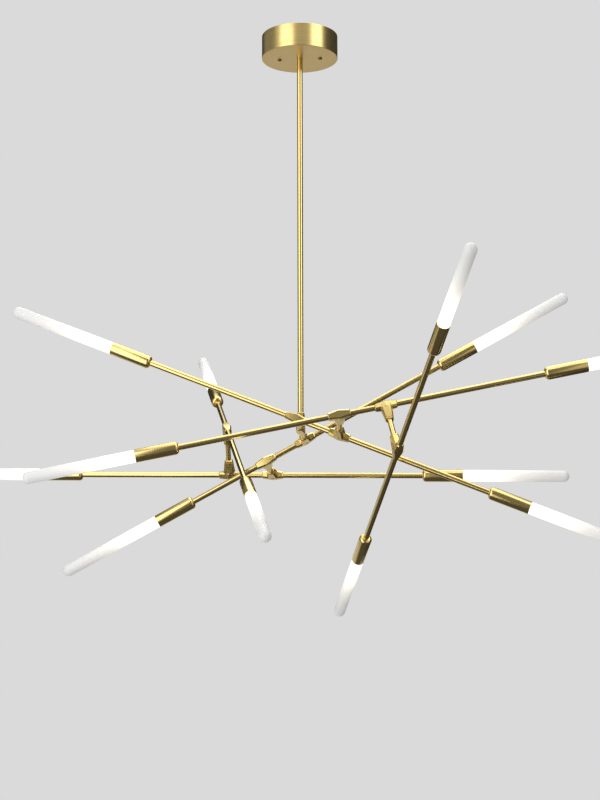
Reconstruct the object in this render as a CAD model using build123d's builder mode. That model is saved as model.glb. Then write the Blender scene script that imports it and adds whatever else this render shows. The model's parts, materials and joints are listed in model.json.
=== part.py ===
from build123d import *
import os
from dataclasses import dataclass

# Branching tube chandelier. Millimetres, +Z up, +X to the viewer's right, -Y towards the viewer.
# The origin is on the ceiling, at the centre of the canopy. A drop rod carries a centre tee.
# From it two short rods run forward and back, and each carries a chain of jointed arms.

# Ceiling canopy and what is inside it
CANOPY_RADIUS = 76.0
CANOPY_HEIGHT = 47.0
CANOPY_WALL = 1.2
CANOPY_EDGE = 0.8
CANOPY_ROD_HOLE = 6.2
CANOPY_SCREW_OFFSET = 41.0
CANOPY_SCREW_TURN = -6.0
CANOPY_SCREW_RADIUS = 2.0
SCREW_HEAD_RADIUS = 3.8
SCREW_HEAD_HEIGHT = 2.3
SCREW_RECESS = (4.6, 0.9, 1.1)
THREAD_GAP = 0.05
CROSSBAR_THICKNESS = 2.5
CROSSBAR_LONG = (112.0, 24.0)
CROSSBAR_SHORT = (100.0, 20.0)
BOX_SLOT_SPACING = 88.9
BOX_SLOT = (12.0, 4.4)
NIPPLE_RADIUS = 5.0
NIPPLE_BORE = 3.6
NIPPLE_TOP = -0.2
NIPPLE_BOTTOM = -22.0
NUT_ACROSS_FLATS = 14.0
NUT_HEIGHT = 4.0
SWIVEL_RADIUS = 12.5
SWIVEL_TOP = -14.0
SWIVEL_CAVITY_TOP = -24.0
SWIVEL_CAVITY_RADIUS = 9.5
SWIVEL_JOINT = -34.0
SWIVEL_BOTTOM = -40.0
SWIVEL_SPIGOT = 2.0
SWIVEL_SPIGOT_RADIUS = 9.4

# Rods and tubes, with the running clearance of the parts that turn on them
DROP = 763.0
DROP_ROD_RADIUS = 5.6
DROP_ROD_BORE = 4.4
DROP_ROD_TOP = -26.0
DROP_FLANGE = (8.9, 3.0)
LINK_ROD_RADIUS = 5.0
LINK_ROD_BORE = 3.8
ARM_RADIUS = 5.5
ARM_BORE = 4.5
RUNNING_GAP = 0.05
WIRE_PORT = 3.0

# Faceted tees: the bar takes an arm, the stem takes a rod
TEE_BAR_HALF = 21.3
TEE_BAR_BEVEL = 1.5
TEE_BAR_END = (13.0, 13.0, 2.7)
TEE_BAR_TIP = (10.8, 10.8, 2.2)
TEE_BAR_MIDDLE = (18.0, 14.5, 2.0)
TEE_STEM_ROOT = (24.0, 17.0, 3.8)
TEE_STEM_END = (15.5, 14.5, 2.8)
TEE_STEM_TIP = (13.4, 12.4, 2.4)
TEE_STEM_LENGTH = 33.0
TEE_STEM_BEVEL = 1.2
TEE_ROD_DEPTH = 20.0
TEE_GROOVE_HEIGHT = 28.6
TEE_GROOVE_WIDTH = 0.7
TEE_GROOVE_NECK = (13.6, 12.6, 2.4)

# Lamp ends, measured from the socket's mouth
SOCKET_RADIUS = 12.35
SOCKET_LENGTH = 81.5
SOCKET_BACK_ROUND = 6.6
SOCKET_BACK_WALL = 12.0
SOCKET_CAVITY = 10.9
SOCKET_SEAT = 20.0
SOCKET_RIM_BEVEL = 0.3
GLASS_RADIUS = 11.5
GLASS_WALL = 2.0
GLASS_LENGTH = 210.0
GLASS_SEATED = 18.0
GLASS_GAP = 0.1
HOLDER_RADIUS = 10.8
HOLDER_LENGTH = 28.0
HOLDER_CUP = (6.2, 20.0)
LAMP_BASE_RADIUS = 6.0
LAMP_RADIUS = 8.5
LAMP_NECK = -38.0
LAMP_SHOULDER = 4.0
LAMP_TIP = 92.0

# Spacing of the tees and reach of the arms, from a tee's centre to a socket's mouth
CENTRE_LINK = 196.0
LINK = 99.4
TEE_SPACING = 88.4
LONG_REACH = 384.0
SHORT_REACH = 244.0

# Pose of the arms. Swing turns an arm about the rod that carries it, from the arm before it;
# twist turns the stem of its outer tee about the arm, from the stem of its inner tee.
CENTRE_TURN = -5.0
INNER_FRONT = (-22.4, 169.6)
OUTER_FRONT = (34.6, -100.7)
RIGHT_CROSS = (-103.2, 0.0)
INNER_REAR = (-28.3, 175.2)
OUTER_REAR = (30.2, -53.7)
LEFT_CROSS = (-74.4, 0.0)


def turned(direction, about, angle):
    """A direction turned about another one by the right-hand rule, in degrees."""
    return direction.rotate(Axis((0, 0, 0), about), angle)


def save(piece, name):
    """Name a finished piece and write it to its own file."""
    piece.part.label = name
    export_step(piece.part, f"parts/{name}.step")


@dataclass
class Arm:
    """A double-ended arm, hung by its inner tee on the rod that carries it."""

    name: str
    carrier: Vector
    carrier_stem: Vector
    direction: Vector
    branch: Vector
    branch_stem: Vector
    reaches: tuple
    ends: tuple

    @property
    def has_branch(self):
        """True where a second tee carries the next arm."""
        return (self.branch - self.carrier).length > 0

    def low_tee(self):
        """Centre of the tee nearer to the arm's first end."""
        along = (self.branch - self.carrier).dot(self.direction)
        return self.branch if along < 0 else self.carrier

    def high_tee(self):
        """Centre of the tee nearer to the arm's second end."""
        along = (self.branch - self.carrier).dot(self.direction)
        return self.branch if along > 0 else self.carrier

    def mouths(self):
        """Planes at the two socket mouths, facing outwards."""
        low = self.low_tee() - self.direction * self.reaches[0]
        high = self.high_tee() + self.direction * self.reaches[1]
        return (
            Plane(origin=low, x_dir=self.carrier_stem, z_dir=-self.direction),
            Plane(origin=high, x_dir=self.carrier_stem, z_dir=self.direction),
        )


def hang_arm(name, before, rod_start, rod_direction, rod_length, pose, branch_side, reaches, ends):
    """Place an arm at the far end of a rod, from the direction of the arm before it."""
    swing, twist = pose
    carrier = rod_start + rod_direction * rod_length
    stem = -rod_direction
    direction = turned(before, rod_direction, swing)
    branch = carrier + direction * (branch_side * TEE_SPACING)
    branch_stem = turned(stem, direction, twist)
    return Arm(name, carrier, stem, direction, branch, branch_stem, reaches, ends)


def tee_plane(centre, bar_direction, stem_direction):
    """Plane of a tee: X along its bar and Z up its stem."""
    return Plane(origin=centre, x_dir=bar_direction, z_dir=stem_direction)


def bar_section(tee, along):
    """Plane across a tee's bar at a distance along it: X is its thickness, Y is up its stem."""
    return Plane(origin=tee.origin + tee.x_dir * along, x_dir=tee.y_dir, z_dir=tee.x_dir)


def bar_sections(tee):
    """Planes and octagons along a tee's bar, from end to end."""
    bevel_start = TEE_BAR_HALF - TEE_BAR_BEVEL
    return (
        (bar_section(tee, -TEE_BAR_HALF), TEE_BAR_TIP),
        (bar_section(tee, -bevel_start), TEE_BAR_END),
        (bar_section(tee, 0), TEE_BAR_MIDDLE),
        (bar_section(tee, bevel_start), TEE_BAR_END),
        (bar_section(tee, TEE_BAR_HALF), TEE_BAR_TIP),
    )


def stem_sections(tee):
    """Planes and octagons up a tee's stem, from the bar's centre to the tip."""
    return (
        (tee, TEE_STEM_ROOT),
        (tee.offset(TEE_STEM_LENGTH - TEE_STEM_BEVEL), TEE_STEM_END),
        (tee.offset(TEE_STEM_LENGTH), TEE_STEM_TIP),
    )


def build_tee(name, tee, bar_bore, stem_bore):
    """Faceted tee: a bar with octagonal sections, a tapering stem, two bores and a wire port."""
    with BuildPart() as body:
        for sections in (bar_sections(tee), stem_sections(tee)):
            for plane, (width, height, corner) in sections:
                with BuildSketch(plane) as outline:
                    Rectangle(width, height)
                    chamfer(outline.vertices(), length=corner)
            loft(ruled=True)
        width, height, corner = TEE_GROOVE_NECK
        with BuildSketch(Plane.XY, mode=Mode.PRIVATE) as neck:
            Rectangle(width, height)
            chamfer(neck.vertices(), length=corner)
        with BuildSketch(tee.offset(TEE_GROOVE_HEIGHT)):
            Rectangle(2 * width, 2 * height)
            add(neck.sketch_local, mode=Mode.SUBTRACT)
        extrude(amount=TEE_GROOVE_WIDTH, mode=Mode.SUBTRACT)
        with BuildSketch(bar_section(tee, -TEE_BAR_HALF)):
            Circle(bar_bore)
        extrude(amount=2 * TEE_BAR_HALF, mode=Mode.SUBTRACT)
        with BuildSketch(tee.offset(TEE_STEM_LENGTH)):
            Circle(stem_bore)
        extrude(amount=-TEE_ROD_DEPTH, mode=Mode.SUBTRACT)
        with BuildSketch(tee):
            Circle(WIRE_PORT)
        extrude(amount=TEE_STEM_LENGTH - TEE_ROD_DEPTH, mode=Mode.SUBTRACT)
    save(body, name)


def build_rods(name, spans, radius, bore):
    """Hollow straight rods, each from its plane's origin along its Z."""
    with BuildPart() as rods:
        for base, length in spans:
            with BuildSketch(base):
                Circle(radius)
                Circle(bore, mode=Mode.SUBTRACT)
            extrude(amount=length)
    save(rods, name)


def link_span(tee_centre, direction, far_centre):
    """Plane and length of a link rod seated in the stems of two tees."""
    seat = TEE_STEM_LENGTH - TEE_ROD_DEPTH
    length = (far_centre - tee_centre).length - 2 * seat
    return Plane(origin=tee_centre + direction * seat, z_dir=direction), length


def build_arm_tube(arm):
    """The arm's tube, with a side hole for the wires under each tee."""
    low, high = arm.mouths()
    inset = SOCKET_LENGTH - SOCKET_BACK_WALL
    start = low.origin + arm.direction * inset
    length = (high.origin - low.origin).length - 2 * inset
    ports = [(arm.carrier, arm.carrier_stem)]
    if arm.has_branch:
        ports.append((arm.branch, arm.branch_stem))
    with BuildPart() as tube:
        with BuildSketch(Plane(origin=start, z_dir=arm.direction)):
            Circle(ARM_RADIUS)
            Circle(ARM_BORE, mode=Mode.SUBTRACT)
        extrude(amount=length)
        for centre, stem in ports:
            with BuildSketch(Plane(origin=centre, z_dir=stem)):
                Circle(WIRE_PORT)
            extrude(amount=ARM_RADIUS + 1, mode=Mode.SUBTRACT)
    save(tube, f"{arm.name}_tube")


def profile_plane(mouth):
    """Plane for a turned profile: X outwards along the lamp's axis and Y across it."""
    return Plane(origin=mouth.origin, x_dir=mouth.z_dir, z_dir=mouth.x_dir)


def lamp_axis(mouth):
    """Axis of a lamp end."""
    return Axis(mouth.origin, mouth.z_dir)


def build_socket(name, mouth):
    """Turned socket cup: back rounded down to the tube, lampholder cavity and glass seat."""
    back = -SOCKET_LENGTH
    shoulder = back + SOCKET_BACK_ROUND
    flat = SOCKET_RADIUS - SOCKET_BACK_ROUND
    cavity_end = back + SOCKET_BACK_WALL
    seat_radius = GLASS_RADIUS + GLASS_GAP
    with BuildPart() as socket:
        with BuildSketch(profile_plane(mouth)):
            with BuildLine():
                CenterArc((shoulder, flat), SOCKET_BACK_ROUND, 90, 90)
                Polyline(
                    (back, flat),
                    (back, ARM_RADIUS),
                    (cavity_end, ARM_RADIUS),
                    (cavity_end, SOCKET_CAVITY),
                    (-SOCKET_SEAT, SOCKET_CAVITY),
                    (-SOCKET_SEAT, seat_radius),
                    (0, seat_radius),
                    (0, SOCKET_RADIUS - SOCKET_RIM_BEVEL),
                    (-SOCKET_RIM_BEVEL, SOCKET_RADIUS),
                    (shoulder, SOCKET_RADIUS),
                )
            make_face()
        revolve(axis=lamp_axis(mouth))
    save(socket, name)


def build_glass_tubes(name, mouths):
    """Two closed glass tubes with domed tips, seated in their sockets."""
    dome = GLASS_LENGTH - GLASS_RADIUS
    inner = GLASS_RADIUS - GLASS_WALL
    with BuildPart() as glass:
        for mouth in mouths:
            with BuildSketch(profile_plane(mouth)):
                with BuildLine():
                    CenterArc((dome, 0), GLASS_RADIUS, 0, 90)
                    Polyline(
                        (dome, GLASS_RADIUS),
                        (-GLASS_SEATED, GLASS_RADIUS),
                        (-GLASS_SEATED, inner),
                        (dome, inner),
                    )
                    CenterArc((dome, 0), inner, 0, 90)
                    Line((dome + inner, 0), (GLASS_LENGTH, 0))
                make_face()
            revolve(axis=lamp_axis(mouth))
    save(glass, name)


def build_lampholders(name, mouths):
    """Two round lampholders on the sockets' back walls, each with a cup for the lamp's base."""
    cup_radius, cup_depth = HOLDER_CUP
    seat = SOCKET_LENGTH - SOCKET_BACK_WALL
    with BuildPart() as holders:
        for mouth in mouths:
            with BuildSketch(mouth.offset(-seat)):
                Circle(HOLDER_RADIUS)
                Circle(WIRE_PORT, mode=Mode.SUBTRACT)
            extrude(amount=HOLDER_LENGTH)
            with BuildSketch(mouth.offset(HOLDER_LENGTH - seat)):
                Circle(cup_radius)
            extrude(amount=-cup_depth, mode=Mode.SUBTRACT)
    save(holders, name)


def build_lamps(name, mouths):
    """Two tubular lamps: a base in the holder's cup and a long envelope with a domed tip."""
    cup_depth = HOLDER_CUP[1]
    cup_floor = SOCKET_BACK_WALL - SOCKET_LENGTH + HOLDER_LENGTH - cup_depth
    dome = LAMP_TIP - LAMP_RADIUS
    with BuildPart() as lamps:
        for mouth in mouths:
            with BuildSketch(profile_plane(mouth)):
                with BuildLine():
                    Polyline(
                        (LAMP_TIP, 0),
                        (cup_floor, 0),
                        (cup_floor, LAMP_BASE_RADIUS),
                        (LAMP_NECK, LAMP_BASE_RADIUS),
                        (LAMP_NECK + LAMP_SHOULDER, LAMP_RADIUS),
                        (dome, LAMP_RADIUS),
                    )
                    CenterArc((dome, 0), LAMP_RADIUS, 0, 90)
                make_face()
            revolve(axis=lamp_axis(mouth))
    save(lamps, name)


def build_arm(arm):
    """Every piece that belongs to one arm."""
    mouths = arm.mouths()
    build_arm_tube(arm)
    carrier = tee_plane(arm.carrier, arm.direction, arm.carrier_stem)
    build_tee(
        f"{arm.name}_carrier_tee", carrier, ARM_RADIUS + RUNNING_GAP, LINK_ROD_RADIUS + RUNNING_GAP
    )
    if arm.has_branch:
        branch = tee_plane(arm.branch, arm.direction, arm.branch_stem)
        build_tee(f"{arm.name}_branch_tee", branch, ARM_RADIUS, LINK_ROD_RADIUS)
        far_centre = arm.branch + arm.branch_stem * LINK
        span = link_span(arm.branch, arm.branch_stem, far_centre)
        build_rods(f"{arm.name}_link_rod", [span], LINK_ROD_RADIUS, LINK_ROD_BORE)
    for end, mouth in zip(arm.ends, mouths):
        build_socket(f"{arm.name}_socket_{end}", mouth)
    build_glass_tubes(f"{arm.name}_glass_tubes", mouths)
    build_lampholders(f"{arm.name}_lampholders", mouths)
    build_lamps(f"{arm.name}_lamps", mouths)


def build_crossbar():
    """Steel crossbar: slots for the ceiling box along Y, canopy threads on the short bar."""
    slot_length, slot_width = BOX_SLOT
    with BuildPart() as crossbar:
        with BuildSketch(Plane.XY.offset(-CROSSBAR_THICKNESS)):
            SlotOverall(*CROSSBAR_LONG, rotation=90)
            SlotOverall(*CROSSBAR_SHORT, rotation=CANOPY_SCREW_TURN)
            Circle(NIPPLE_RADIUS + THREAD_GAP, mode=Mode.SUBTRACT)
            with GridLocations(0, BOX_SLOT_SPACING, 1, 2):
                SlotOverall(slot_length, slot_width, rotation=90, mode=Mode.SUBTRACT)
            with PolarLocations(CANOPY_SCREW_OFFSET, 2, start_angle=CANOPY_SCREW_TURN):
                Circle(CANOPY_SCREW_RADIUS + THREAD_GAP, mode=Mode.SUBTRACT)
        extrude(amount=CROSSBAR_THICKNESS)
    save(crossbar, "ceiling_crossbar")


def build_canopy():
    """Drum-shaped canopy, open against the ceiling, with holes for the rod and two screws."""
    with BuildPart() as canopy:
        with BuildSketch(Plane.XY.offset(-CANOPY_HEIGHT)):
            Circle(CANOPY_RADIUS)
        extrude(amount=CANOPY_HEIGHT)
        fillet(canopy.faces().sort_by(Axis.Z)[0].edges(), radius=CANOPY_EDGE)
        with BuildSketch(Plane.XY.offset(CANOPY_WALL - CANOPY_HEIGHT)):
            Circle(CANOPY_RADIUS - CANOPY_WALL)
        extrude(amount=CANOPY_HEIGHT, mode=Mode.SUBTRACT)
        with BuildSketch(Plane.XY.offset(-CANOPY_HEIGHT)):
            Circle(CANOPY_ROD_HOLE)
            with PolarLocations(CANOPY_SCREW_OFFSET, 2, start_angle=CANOPY_SCREW_TURN):
                Circle(CANOPY_SCREW_RADIUS + THREAD_GAP)
        extrude(amount=CANOPY_WALL, mode=Mode.SUBTRACT)
    save(canopy, "canopy")


def build_canopy_screws():
    """Two long screws with domed heads that hold the canopy up to the crossbar."""
    shank = CANOPY_HEIGHT + NIPPLE_TOP
    down = (Align.CENTER, Align.CENTER, Align.MAX)
    up = (Align.CENTER, Align.CENTER, Align.MIN)
    with BuildPart(Plane.XY.offset(-CANOPY_HEIGHT)) as screws:
        with PolarLocations(CANOPY_SCREW_OFFSET, 2, start_angle=CANOPY_SCREW_TURN):
            Cylinder(CANOPY_SCREW_RADIUS, shank, align=up)
            Cylinder(SCREW_HEAD_RADIUS, SCREW_HEAD_HEIGHT, align=down)
        heads = screws.faces().sort_by(Axis.Z)[:2]
        fillet(heads.edges(), radius=SCREW_HEAD_HEIGHT * 0.7)
    with BuildPart(Plane.XY.offset(-CANOPY_HEIGHT - SCREW_HEAD_HEIGHT)) as recesses:
        with PolarLocations(CANOPY_SCREW_OFFSET, 2, start_angle=CANOPY_SCREW_TURN):
            length, width, depth = SCREW_RECESS
            Box(length, width, depth, align=up)
            Box(width, length, depth, align=up)
    with screws:
        add(recesses.part, mode=Mode.SUBTRACT)
    save(screws, "canopy_screws")


def build_support_nipple():
    """Threaded tube that carries the swivel and lets the wires through."""
    with BuildPart() as nipple:
        with BuildSketch(Plane.XY.offset(NIPPLE_BOTTOM)):
            Circle(NIPPLE_RADIUS)
            Circle(NIPPLE_BORE, mode=Mode.SUBTRACT)
        extrude(amount=NIPPLE_TOP - NIPPLE_BOTTOM)
    save(nipple, "support_nipple")


def build_nipple_nuts():
    """Two lock nuts: one under the crossbar and one on top of the swivel."""
    with BuildPart() as nuts:
        for bottom in (-CROSSBAR_THICKNESS - NUT_HEIGHT, SWIVEL_TOP):
            with BuildSketch(Plane.XY.offset(bottom)):
                RegularPolygon(NUT_ACROSS_FLATS / 2, 6, major_radius=False)
                Circle(NIPPLE_RADIUS + THREAD_GAP, mode=Mode.SUBTRACT)
            extrude(amount=NUT_HEIGHT)
    save(nuts, "nipple_lock_nuts")


def build_swivel():
    """Swivel housing on the nipple, and the screwed cap that holds the rod's flange in it."""
    with BuildPart() as housing:
        with BuildSketch(Plane.XY.offset(SWIVEL_JOINT)):
            Circle(SWIVEL_RADIUS)
        extrude(amount=SWIVEL_TOP - SWIVEL_JOINT)
        with BuildSketch(Plane.XY.offset(SWIVEL_JOINT)):
            Circle(SWIVEL_CAVITY_RADIUS)
        extrude(amount=SWIVEL_CAVITY_TOP - SWIVEL_JOINT, mode=Mode.SUBTRACT)
        with BuildSketch(Plane.XY.offset(SWIVEL_CAVITY_TOP)):
            Circle(NIPPLE_RADIUS + THREAD_GAP)
        extrude(amount=SWIVEL_TOP - SWIVEL_CAVITY_TOP, mode=Mode.SUBTRACT)
    save(housing, "swivel_housing")
    with BuildPart() as cap:
        with BuildSketch(Plane.XY.offset(SWIVEL_BOTTOM)):
            Circle(SWIVEL_RADIUS)
        extrude(amount=SWIVEL_JOINT - SWIVEL_BOTTOM)
        with BuildSketch(Plane.XY.offset(SWIVEL_JOINT)):
            Circle(SWIVEL_SPIGOT_RADIUS)
        extrude(amount=SWIVEL_SPIGOT)
        with BuildSketch(Plane.XY.offset(SWIVEL_BOTTOM)):
            Circle(DROP_ROD_RADIUS + RUNNING_GAP)
        extrude(amount=SWIVEL_JOINT - SWIVEL_BOTTOM + SWIVEL_SPIGOT, mode=Mode.SUBTRACT)
    save(cap, "swivel_cap")


def build_drop_rod(centre):
    """Drop rod from the swivel down to the centre tee, with the flange it hangs by."""
    flange_radius, flange_height = DROP_FLANGE
    bottom = centre.Z + TEE_STEM_LENGTH - TEE_ROD_DEPTH
    with BuildPart() as rod:
        with BuildSketch(Plane.XY.offset(bottom)):
            Circle(DROP_ROD_RADIUS)
        extrude(amount=DROP_ROD_TOP - bottom)
        with BuildSketch(Plane.XY.offset(SWIVEL_JOINT + SWIVEL_SPIGOT + RUNNING_GAP)):
            Circle(flange_radius)
        extrude(amount=flange_height)
        with BuildSketch(Plane.XY.offset(bottom)):
            Circle(DROP_ROD_BORE)
        extrude(amount=DROP_ROD_TOP - bottom, mode=Mode.SUBTRACT)
    save(rod, "drop_rod")


def build_centre(centre, forward):
    """Centre tee with its stem up, and the two rods that leave its bar."""
    across = Plane(origin=centre, x_dir=forward, z_dir=(0, 0, 1))
    build_tee("centre_tee", across, LINK_ROD_RADIUS, DROP_ROD_RADIUS)
    start = TEE_BAR_HALF / 2
    length = CENTRE_LINK / 2 - (TEE_STEM_LENGTH - TEE_ROD_DEPTH) - start
    spans = []
    for direction in (forward, -forward):
        spans.append((Plane(origin=centre + direction * start, z_dir=direction), length))
    build_rods("centre_link_rods", spans, LINK_ROD_RADIUS, LINK_ROD_BORE)


def lay_out_arms(centre, forward):
    """The six arms in their photographed pose: two chains of three."""
    across = Vector(0, 0, 1).cross(forward)
    half_link = CENTRE_LINK / 2
    long_arm = (LONG_REACH, LONG_REACH)
    short_first = (SHORT_REACH, LONG_REACH)
    sides = ("left", "right")
    heights = ("upper", "lower")
    inner_front = hang_arm(
        "inner_front", across, centre, forward, half_link, INNER_FRONT, 1, long_arm, sides
    )
    outer_front = hang_arm(
        "outer_front", inner_front.direction, inner_front.branch, inner_front.branch_stem,
        LINK, OUTER_FRONT, 1, long_arm, sides,
    )
    right_cross = hang_arm(
        "right_cross", outer_front.direction, outer_front.branch, outer_front.branch_stem,
        LINK, RIGHT_CROSS, 0, long_arm, heights,
    )
    inner_rear = hang_arm(
        "inner_rear", across, centre, -forward, half_link, INNER_REAR, -1, short_first, sides
    )
    outer_rear = hang_arm(
        "outer_rear", inner_rear.direction, inner_rear.branch, inner_rear.branch_stem,
        LINK, OUTER_REAR, -1, long_arm, sides,
    )
    left_cross = hang_arm(
        "left_cross", outer_rear.direction, outer_rear.branch, outer_rear.branch_stem,
        LINK, LEFT_CROSS, 0, short_first, heights,
    )
    return [inner_front, outer_front, right_cross, inner_rear, outer_rear, left_cross]


def print_joints(centre, arms):
    """Print where each hinge is and which way it points, in metres."""
    print("centre", tuple(round(value / 1000, 6) for value in centre))
    for arm in arms:
        place = tuple(round(value / 1000, 6) for value in arm.carrier)
        swing_axis = tuple(round(value, 6) for value in -arm.carrier_stem)
        twist_axis = tuple(round(value, 6) for value in arm.direction)
        print(arm.name, "at", place, "swing about", swing_axis, "twist about", twist_axis)


def main():
    """Build every piece."""
    os.makedirs("parts", exist_ok=True)
    centre = Vector(0, 0, -CANOPY_HEIGHT - DROP)
    forward = turned(Vector(0, -1, 0), Vector(0, 0, 1), CENTRE_TURN)
    arms = lay_out_arms(centre, forward)
    build_crossbar()
    build_canopy()
    build_canopy_screws()
    build_support_nipple()
    build_nipple_nuts()
    build_swivel()
    build_drop_rod(centre)
    build_centre(centre, forward)
    for arm in arms:
        build_arm(arm)
    print_joints(centre, arms)


main()
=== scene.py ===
import json
import logging
import math
from dataclasses import dataclass, field
from enum import Enum

import bmesh
import bpy
from mathutils import Matrix, Vector


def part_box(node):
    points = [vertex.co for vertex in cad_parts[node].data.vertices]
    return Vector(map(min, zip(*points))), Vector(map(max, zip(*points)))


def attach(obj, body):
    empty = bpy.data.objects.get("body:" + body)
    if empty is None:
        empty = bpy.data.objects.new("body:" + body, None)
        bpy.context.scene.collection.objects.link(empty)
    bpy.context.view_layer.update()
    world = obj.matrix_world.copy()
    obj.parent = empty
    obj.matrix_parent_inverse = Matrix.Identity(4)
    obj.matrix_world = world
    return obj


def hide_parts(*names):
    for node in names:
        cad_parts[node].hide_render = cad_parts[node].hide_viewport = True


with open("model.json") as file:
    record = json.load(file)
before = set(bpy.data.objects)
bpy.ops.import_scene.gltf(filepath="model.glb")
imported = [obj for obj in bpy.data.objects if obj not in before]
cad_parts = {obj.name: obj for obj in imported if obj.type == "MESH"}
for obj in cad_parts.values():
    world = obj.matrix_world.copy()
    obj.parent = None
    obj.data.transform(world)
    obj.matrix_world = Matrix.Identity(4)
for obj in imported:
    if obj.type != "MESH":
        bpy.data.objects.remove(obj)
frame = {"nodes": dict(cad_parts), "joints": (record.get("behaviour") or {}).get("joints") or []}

log = logging.getLogger("chandelier")

MM = 0.001
LOCAL = "local"
FINE_SHARE = 0.6
BROAD_SCALE = 0.23
STREAK_RANGE = (0.3, 0.7)
SPECKS_PER_CLOUD = 24.0
SPECK_RANGE = (0.66, 0.76)
RELIEF_DEPTH = 0.2 * MM
EDGE_ANGLE = 18.0
EDGE_SPANS = 2
LONG_RUN = 10
WELD = 1e-6


# --- shader building -------------------------------------------------------------------------


class Graph:
    """Adds and links nodes in one node tree."""

    def __init__(self, tree: bpy.types.NodeTree) -> None:
        """Start with an empty tree.

        Args:
            tree: The node tree of a material, a world or a group.
        """
        self.tree = tree
        tree.nodes.clear()

    def node(self, kind: str, **settings: object) -> bpy.types.Node:
        """Add a node.

        Args:
            kind: The node's type name.
            **settings: Properties to set on it.

        Returns:
            The new node.
        """
        made = self.tree.nodes.new(kind)
        for name, value in settings.items():
            setattr(made, name, value)
        return made

    def put(self, socket: bpy.types.NodeSocket, value: object) -> None:
        """Give a socket a value, or link another socket to it.

        Args:
            socket: The input socket.
            value: A value or an output socket.
        """
        if isinstance(value, bpy.types.NodeSocket):
            self.tree.links.new(value, socket)
        else:
            socket.default_value = value

    def feed(self, node: bpy.types.Node, **inputs: object) -> bpy.types.Node:
        """Give a node's inputs a value or a link.

        Args:
            node: The node to feed.
            **inputs: Input names, with _ for a space, and a value or an output socket each.

        Returns:
            The same node.
        """
        for name, value in inputs.items():
            self.put(node.inputs[name.replace("_", " ")], value)
        return node

    def math(self, operation: str, first: object, second: object = 0.0) -> bpy.types.NodeSocket:
        """Add a Math node and return its value.

        Args:
            operation: The operation's name.
            first: First number or socket.
            second: Second number or socket.

        Returns:
            The value socket.
        """
        made = self.node("ShaderNodeMath", operation=operation)
        self.put(made.inputs[0], first)
        self.put(made.inputs[1], second)
        return made.outputs[0]

    def remap(self, value: bpy.types.NodeSocket, low: float, high: float) -> bpy.types.NodeSocket:
        """Stretch a 0 to 1 value to another range.

        Args:
            value: The socket to stretch.
            low: What 0 becomes.
            high: What 1 becomes.

        Returns:
            The stretched value.
        """
        made = self.node("ShaderNodeMapRange")
        self.feed(made, Value=value, To_Min=low, To_Max=high)
        return made.outputs["Result"]

    def blend(self, share: object, first: object, second: object) -> bpy.types.NodeSocket:
        """Mix two colours.

        Args:
            share: 0 for the first colour, 1 for the second.
            first: A colour or socket.
            second: A colour or socket.

        Returns:
            The mixed colour.
        """
        made = self.node("ShaderNodeMix", data_type="RGBA")
        for index, value in ((0, share), (6, first), (7, second)):
            self.put(made.inputs[index], value)
        return made.outputs[2]

    def mix(
        self, share: bpy.types.NodeSocket, first: bpy.types.Node, second: bpy.types.Node
    ) -> bpy.types.Node:
        """Mix two shaders.

        Args:
            share: 0 for the first shader, 1 for the second.
            first: A shader node.
            second: A shader node.

        Returns:
            The mixed shader.
        """
        made = self.node("ShaderNodeMixShader")
        for index, value in enumerate((share, first.outputs[0], second.outputs[0])):
            self.put(made.inputs[index], value)
        return made

    def show(self, kind: str, shader: bpy.types.Node) -> None:
        """Send a shader to the tree's output.

        Args:
            kind: Material or World.
            shader: The shader node.
        """
        self.feed(self.node(f"ShaderNodeOutput{kind}"), Surface=shader.outputs[0])


def neutral(shade: float) -> tuple[float, float, float, float]:
    """A grey of a shade, where 1 is white."""
    return (shade, shade, shade, 1.0)


def new_material(name: str) -> tuple[bpy.types.Material, Graph]:
    """Make an empty node material.

    Args:
        name: The material's name.

    Returns:
        The material and its graph.
    """
    material = bpy.data.materials.new(name)
    material.use_nodes = True
    return material, Graph(material.node_tree)


class Grain(Enum):
    """Which way the brushed lines of a finish run."""

    ALONG = "grain_along"
    AROUND = "grain_around"


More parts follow.
